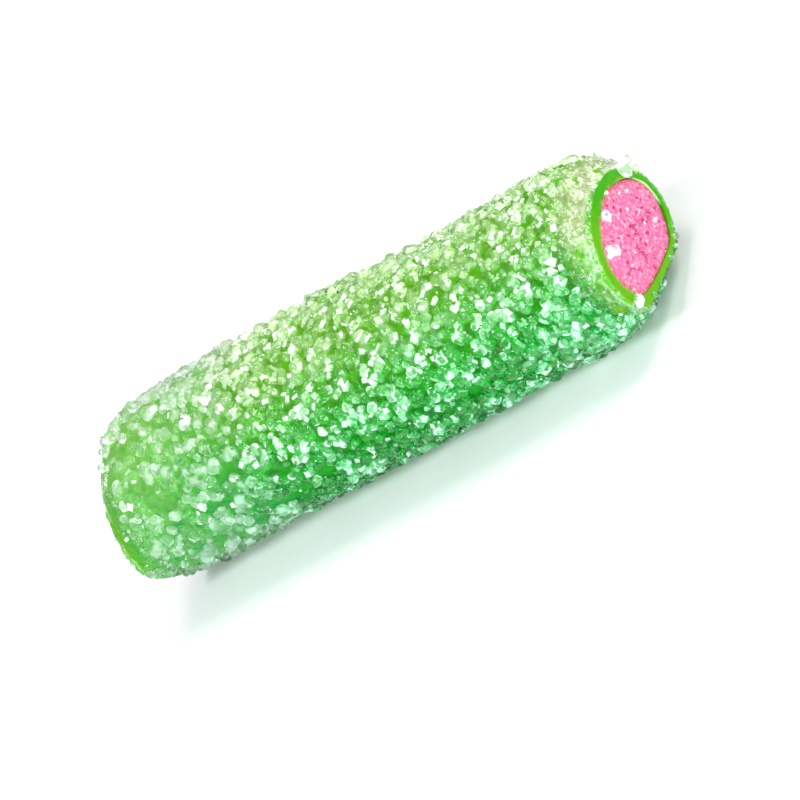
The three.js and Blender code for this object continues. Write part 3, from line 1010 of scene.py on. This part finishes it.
def colour_mix(tree, factor, first, second):
    """A colour between first and second, each a socket or three numbers."""
    ends = [end if isinstance(end, bpy.types.NodeSocket) else (*end, 1) for end in (first, second)]
    inputs = {0: factor, 6: ends[0], 7: ends[1]}
    return put(tree, "ShaderNodeMix", inputs, data_type="RGBA", clamp_factor=True).outputs[2]


def ramp(tree, value, low, high, to_low=0.0, to_high=1.0):
    """value carried from low..high to to_low..to_high, smoothly, and held there."""
    inputs = {0: value, 1: low, 2: high, 3: to_low, 4: to_high}
    return put(tree, "ShaderNodeMapRange", inputs, interpolation_type="SMOOTHSTEP").outputs["Result"]


def combined(tree, operation, first, second):
    """Two numbers added or multiplied, as the operation says."""
    return put(tree, "ShaderNodeMath", {0: first, 1: second}, operation=operation).outputs["Value"]


def mark(tree, name):
    """The piece's own number of that name."""
    return put(tree, "ShaderNodeAttribute", {}, attribute_name=name).outputs["Fac"]


def grain_group(tree):
    """Fills the group for grain: a noise of a given scale over the piece, and the normal that it gives as
    relief of a given strength and depth."""
    for name, default in (("Scale", 4000.0), ("Detail", 3.0), ("Relief", 0.5), ("Depth", 0.00004)):
        socket = tree.interface.new_socket(name=name, in_out="INPUT", socket_type="NodeSocketFloat")
        socket.default_value = default
    tree.interface.new_socket(name="Grain", in_out="OUTPUT", socket_type="NodeSocketFloat")
    tree.interface.new_socket(name="Normal", in_out="OUTPUT", socket_type="NodeSocketVector")
    given = tree.nodes.new("NodeGroupInput").outputs
    place = put(tree, "ShaderNodeTexCoord", {}).outputs["Object"]
    noise = put(
        tree, "ShaderNodeTexNoise", {"Vector": place, "Scale": given["Scale"], "Detail": given["Detail"]}
    ).outputs["Fac"]
    bump = put(
        tree, "ShaderNodeBump", {"Height": noise, "Strength": given["Relief"], "Distance": given["Depth"]}
    ).outputs["Normal"]
    put(tree, "NodeGroupOutput", {"Grain": noise, "Normal": bump})


def lit_side_group(tree):
    """Fills the group for the change of hue round the tube, which is painted light and shade: 0 on its low
    side, painted as shaded, and 1 on its high side, painted as lit, by the distance along a slanting
    direction from its middle."""
    tree.interface.new_socket(name="Side", in_out="OUTPUT", socket_type="NodeSocketFloat")
    place = put(tree, "ShaderNodeTexCoord", {}).outputs["Object"]
    middle = tuple(part * MM for part in TUBE_MIDDLE)
    away = put(tree, "ShaderNodeVectorMath", {0: place, 1: middle}, operation="SUBTRACT").outputs["Vector"]
    rise = put(tree, "ShaderNodeVectorMath", {0: away, 1: LIT_SIDE_DIRECTION}, operation="DOT_PRODUCT")
    low, high = (part * MM for part in LIT_SIDE_RANGE)
    put(tree, "NodeGroupOutput", {"Side": ramp(tree, rise.outputs["Value"], low, high)})


def grouped(tree, make, **inputs):
    """A shared node group placed in a material with its own values. The group is named after the function
    that makes it, and made the first time that it is asked for."""
    group = bpy.data.node_groups.get(make.__name__)
    if group is None:
        group = bpy.data.node_groups.new(make.__name__, "ShaderNodeTree")
        make(group)
    node = tree.nodes.new("ShaderNodeGroup")
    node.node_tree = group
    fill(tree, node, inputs)
    return node.outputs


def jelly_material(colours):
    """Green jelly: yellower on the high side, painted as lit, than on the low side, painted as shaded;
    darker in the gaps between the crystals, as painted shade, and paler under them; pale and dull beside
    the cuts, softer at the far end, and wet and saturated on the cut ring, with painted shade on its shaded
    part and painted light on its sunlit edge by the bore."""
    material, tree, shader = new_material("green_jelly")
    side = grouped(tree, lit_side_group)["Side"]
    grain = grouped(tree, grain_group, Scale=2600.0, Detail=3.0, Relief=0.35, Depth=0.00006)
    streaks = grouped(tree, grain_group, Scale=420.0, Detail=1.0)["Grain"]
    ring, frost, near = mark(tree, "ring"), mark(tree, "frost"), mark(tree, "near")

    # Painted light and shade: each colour passes from its shaded copy on the low side to its lit copy on
    # the high side, and the gaps between crystals are darker as painted shade.
    body = colour_mix(tree, side, colours.gap_jelly_shaded_side, colours.gap_jelly_lit_side)
    under = colour_mix(tree, side, colours.under_crystal_shaded_side, colours.under_crystal_lit_side)
    body = colour_mix(tree, mark(tree, "under"), body, under)
    body = colour_mix(tree, mark(tree, "bare"), body, colour_mix(tree, side, *BARE_JELLY))
    body = colour_mix(tree, near, colour_mix(tree, side, *FAR_JELLY), body)
    yellow = combined(tree, "MULTIPLY", near, ramp(tree, side, 0.35, 0.8))
    pale = colour_mix(tree, yellow, colours.frost_shaded_side, colours.frost)
    pale = colour_mix(tree, ring, pale, colours.frost)
    body = colour_mix(tree, ramp(tree, grain["Grain"], 0.3, 0.7, 0.0, 0.05), body, pale)

    wet = colour_mix(tree, ramp(tree, streaks, 0.4, 0.8, 0.0, 0.5), colours.jelly_ring, RING_STREAKS)
    # Painted shade on the ring's shaded part, and painted light on its sunlit edge by the bore.
    wet = colour_mix(tree, mark(tree, "deep"), wet, RING_SHADE)
    wet = colour_mix(tree, mark(tree, "bore_sunlit"), wet, RING_BORE_SUNLIT)
    speckled = combined(tree, "MULTIPLY", frost, ramp(tree, grain["Grain"], 0.35, 0.6, 0.45, 0.95))
    colour = colour_mix(tree, speckled, colour_mix(tree, ring, body, wet), pale)
    fill(tree, shader, {
        "Base Color": colour_mix(tree, mark(tree, "lip"), colour, LIP_GLEAM),
        "Roughness": ramp(tree, frost, 0.0, 1.0, 0.26, 0.6),
        "Normal": grain["Normal"],
        "Subsurface Weight": 0.75,
        "Subsurface Radius": (0.45, 1.0, 0.2),
        "Subsurface Scale": 0.0016,
        "IOR": 1.42,
        "Specular IOR Level": 0.12,
    })
    return material


def core_material(colours):
    """Pink core: soft and matt, deeper in colour in the pits of its torn face, as painted shade, and
    towards its border, partly a redder edge and partly painted shade, with pale grains."""
    material, tree, shader = new_material("pink_core")
    grain = grouped(tree, grain_group, Scale=3800.0, Detail=4.0, Relief=0.6, Depth=0.00008)
    # Painted shade: deeper pink where the torn face dips into pits and cracks.
    pits = ramp(tree, mark(tree, "torn"), -1.6, 0.2, 1.0, 0.0)
    colour = colour_mix(tree, pits, colours.core, colours.core_pit_shade)
    # Partly a redder edge, partly painted shade of the recess.
    border_and_shade = ramp(tree, mark(tree, "border_and_shade"), 0.03, 0.7, 0.0, 0.75)
    colour = colour_mix(tree, border_and_shade, colour, CORE_BORDER_AND_SHADE)
    pale = ramp(tree, grain["Grain"], 0.48, 0.68, 0.0, 0.65)
    fill(tree, shader, {
        "Base Color": colour_mix(tree, pale, colour, CORE_GRAIN),
        "Roughness": ramp(tree, grain["Grain"], 0.3, 0.7, 0.75, 0.5),
        "Normal": grain["Normal"],
        "Subsurface Weight": 0.35,
        "Subsurface Radius": (1.0, 0.4, 0.5),
        "Subsurface Scale": 0.0006,
    })
    return material


def sugar_material(colours, name, clearness):
    """One kind of sugar: it bends the light, is tinted by the jelly round it, with the tint painted as lit
    on the high side and as shaded on the low side, and is the whiter the less light passes through it. Each
    crystal has its own depth of tint and gloss."""
    material, tree, shader = new_material(name)
    grain = grouped(tree, grain_group, Scale=5200.0, Detail=2.0, Relief=0.2, Depth=0.00003)
    side = grouped(tree, lit_side_group)["Side"]
    own, tint, near = mark(tree, "grain"), mark(tree, "tint"), mark(tree, "near")
    # Painted light and shade: the tint's lit copy on the high side and shaded copy on the low side.
    deepest = colour_mix(tree, side, colours.sugar_tint_shaded_side, colours.sugar_tint_lit_side)
    deepest = colour_mix(tree, near, colour_mix(tree, side, *FAR_SUGAR), deepest)
    deepest = colour_mix(tree, mark(tree, "crown"), deepest, CROWN_SUGAR)
    depth = combined(tree, "MULTIPLY", tint, ramp(tree, own, 0.0, 1.0, 0.45, 1.0))
    clear = colour_mix(tree, depth, PLAIN_SUGAR, deepest)
    pale = colour_mix(tree, tint, DRY_SUGAR, colour_mix(tree, side, *MILKY_SUGAR))
    far_dullness = ramp(tree, near, 0.0, 1.0, 0.15, 0.0)
    fill(tree, shader, {
        "Base Color": colour_mix(tree, 1 - clearness, clear, pale),
        "Roughness": combined(tree, "ADD", ramp(tree, own, 0.2, 1.0, 0.05, 0.18), far_dullness),
        "Normal": grain["Normal"],
        "Transmission Weight": clearness,
        "IOR": 1.47,
    })
    return material


def floor_material(colour):
    """A plain pale floor, matt, with the faintest mottling."""
    material, tree, shader = new_material("pale_floor")
    mottling = grouped(tree, grain_group, Scale=60.0, Detail=2.0)["Grain"]
    shade = tuple(0.985 * part for part in colour)
    fill(tree, shader, {"Base Color": colour_mix(tree, mottling, colour, shade), "Roughness": 0.6})
    return material


def finished(piece, slot, *replaced):
    """Makes the piece ride on the gummy's one body, and stand for the CAD nodes named. Sugar, the pieces of
    the slot coarse_sugar, casts no shadow, as light passes through it into the jelly."""
    piece.visible_shadow = slot != "coarse_sugar"
    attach(piece, "root")
    if replaced:
        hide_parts(*replaced)


class GUMMY_OT_jelly_tube(bpy.types.Operator):
    """Adds the green jelly tube"""

    bl_idname = "gummy.jelly_tube"
    bl_label = "Jelly Tube"

    def execute(self, context):
        scene = context.scene
        jelly = build_jelly(Tube(scene.gummy_shape), scene.gummy_sugar)
        jelly.data.materials.append(jelly_material(scene.gummy_colours))
        finished(jelly, "sour_jelly", "sugared_skin")
        return {"FINISHED"}


class GUMMY_OT_pink_core(bpy.types.Operator):
    """Adds the pink core"""

    bl_idname = "gummy.pink_core"
    bl_label = "Pink Core"

    def execute(self, context):
        scene = context.scene
        core = build_core(Tube(scene.gummy_shape))
        core.data.materials.append(core_material(scene.gummy_colours))
        finished(core, "pink_filling", "filling")
        return {"FINISHED"}


class GUMMY_OT_sugar(bpy.types.Operator):
    """Adds the sugar: coarse, fine and dust, and the crystals on the cut faces"""

    bl_idname = "gummy.sugar"
    bl_label = "Sugar"

    def execute(self, context):
        scene = context.scene
        tube = Tube(scene.gummy_shape)
        sugar = scene.gummy_sugar
        rng = np.random.default_rng(sugar.seed)
        kinds = [sugar_material(scene.gummy_colours, name, clearness) for name, clearness, _ in SUGAR_KINDS]
        for piece in (
            coarse_sugar(tube, sugar, rng, kinds),
            fine_sugar(tube, sugar, rng, kinds),
            rim_dust(tube, sugar, rng, kinds),
            core_sparkles(tube, sugar, rng, kinds),
            face_crystals(tube, rng, kinds),
        ):
            finished(piece, "coarse_sugar")
        return {"FINISHED"}


def picture_axes():
    """The camera's own directions in the world: right, up, and back towards the camera. Back makes the
    angle VIEW_TO_AXIS with the tube's axis and rises by VIEW_ELEVATION, and up is turned so that the axis
    rises by AXIS_RISE in the picture."""
    along, rise = math.cos(VIEW_TO_AXIS), math.sin(VIEW_ELEVATION)
    back = Vector((along, -math.sqrt(1 - along**2 - rise**2), rise))
    axis = (Vector((1, 0, 0)) - back * along).normalized()
    other = back.cross(axis)
    right = math.cos(AXIS_RISE) * axis - math.sin(AXIS_RISE) * other
    up = math.sin(AXIS_RISE) * axis + math.cos(AXIS_RISE) * other
    return right, up, back


def area_light(name, direction, size, power, colour, aim):
    """A square soft light that stands off from aim in a direction, turned to face it."""
    light = bpy.data.lights.new(name, "AREA")
    light.size = size
    light.energy = power
    light.color = colour
    lamp = bpy.data.objects.new(name, light)
    direction = direction.normalized()
    lamp.location = aim + direction * LIGHT_DISTANCE
    lamp.rotation_euler = direction.to_track_quat("Z", "Y").to_euler()
    bpy.context.scene.collection.objects.link(lamp)


class GUMMY_OT_stage(bpy.types.Operator):
    """Adds the floor, the lights, the white room and the camera"""

    bl_idname = "gummy.stage"
    bl_label = "Stage"

    def execute(self, context):
        scene = context.scene
        studio = scene.gummy_studio
        right, up, back = picture_axes()
        middle = Vector((0, 0, AIM_HEIGHT))

        corners = np.array([[-1, -1, 0], [1, -1, 0], [1, 1, 0], [-1, 1, 0]]) * FLOOR_REACH / MM
        floor = mesh_piece("floor", corners, [np.array([[0, 1, 2, 3]])], False)
        floor.data.materials.append(floor_material(tuple(studio.floor_colour)))

        world = bpy.data.worlds.new("white_room")
        world.use_nodes = True
        world.node_tree.nodes["Background"].inputs["Color"].default_value = WHITE_ROOM
        world.node_tree.nodes["Background"].inputs["Strength"].default_value = studio.sky
        scene.world = world

        key, fill_light = studio.key_power, studio.fill_power
        for name, direction, size, power, colour in (
            ("key", up * 0.9 + back * 0.5, 0.14, key, WARM_LIGHT),
            ("key_left", up * 0.75 + back * 0.35 - right * 0.6, 0.11, key * 0.5, WARM_LIGHT),
            ("key_right", up * 0.45 + back * 0.7 + right * 0.5, 0.11, key * 0.35, WARM_LIGHT),
            ("low_fill", back * 0.85 - up * 0.42, 0.30, fill_light, COOL_LIGHT),
            ("side_fill", back * 0.6 - right * 0.9, 0.12, fill_light * 0.6, COOL_LIGHT),
        ):
            area_light(name, direction, size, power, colour, middle)

        lens = bpy.data.cameras.new("camera")
        lens.sensor_width = 36.0
        lens.lens = lens.sensor_width * VIEW_DISTANCE / FIELD_WIDTH
        lens.clip_start, lens.clip_end = 0.01, 10.0
        camera = bpy.data.objects.new("camera", lens)
        place = middle + right * AIM_RIGHT + up * AIM_UP + back * VIEW_DISTANCE
        turn = Matrix((right, up, back)).transposed().to_4x4()
        camera.matrix_world = Matrix.Translation(place) @ turn
        scene.collection.objects.link(camera)
        scene.camera = camera
        scene.view_settings.view_transform = "Standard"
        return {"FINISHED"}


class GUMMY_PT_panel(bpy.types.Panel):
    """The gummy's sizes, colours and pieces"""

    bl_idname = "GUMMY_PT_panel"
    bl_label = "Filled Sour Gummy"
    bl_space_type = "VIEW_3D"
    bl_region_type = "UI"
    bl_category = "Gummy"

    def draw(self, context):
        layout = self.layout
        for name in SETTINGS:
            group = getattr(context.scene, name)
            box = layout.box()
            for key in group.__annotations__:
                box.prop(group, key)
        for operator in OPERATORS:
            layout.operator(operator.bl_idname)


SETTINGS = {
    "gummy_shape": GummyShape,
    "gummy_sugar": GummySugar,
    "gummy_colours": GummyColours,
    "gummy_studio": GummyStudio,
}
OPERATORS = (GUMMY_OT_jelly_tube, GUMMY_OT_pink_core, GUMMY_OT_sugar, GUMMY_OT_stage)


def register():
    for name, group in SETTINGS.items():
        bpy.utils.register_class(group)
        setattr(bpy.types.Scene, name, PointerProperty(type=group))
    for cls in (*OPERATORS, GUMMY_PT_panel):
        bpy.utils.register_class(cls)


def unregister():
    for cls in (GUMMY_PT_panel, *reversed(OPERATORS)):
        bpy.utils.unregister_class(cls)
    for name, group in reversed(SETTINGS.items()):
        delattr(bpy.types.Scene, name)
        bpy.utils.unregister_class(group)


def main():
    register()
    bpy.ops.gummy.jelly_tube()
    bpy.ops.gummy.pink_core()
    bpy.ops.gummy.sugar()
    bpy.ops.gummy.stage()


if __name__ == "__main__":
    main()
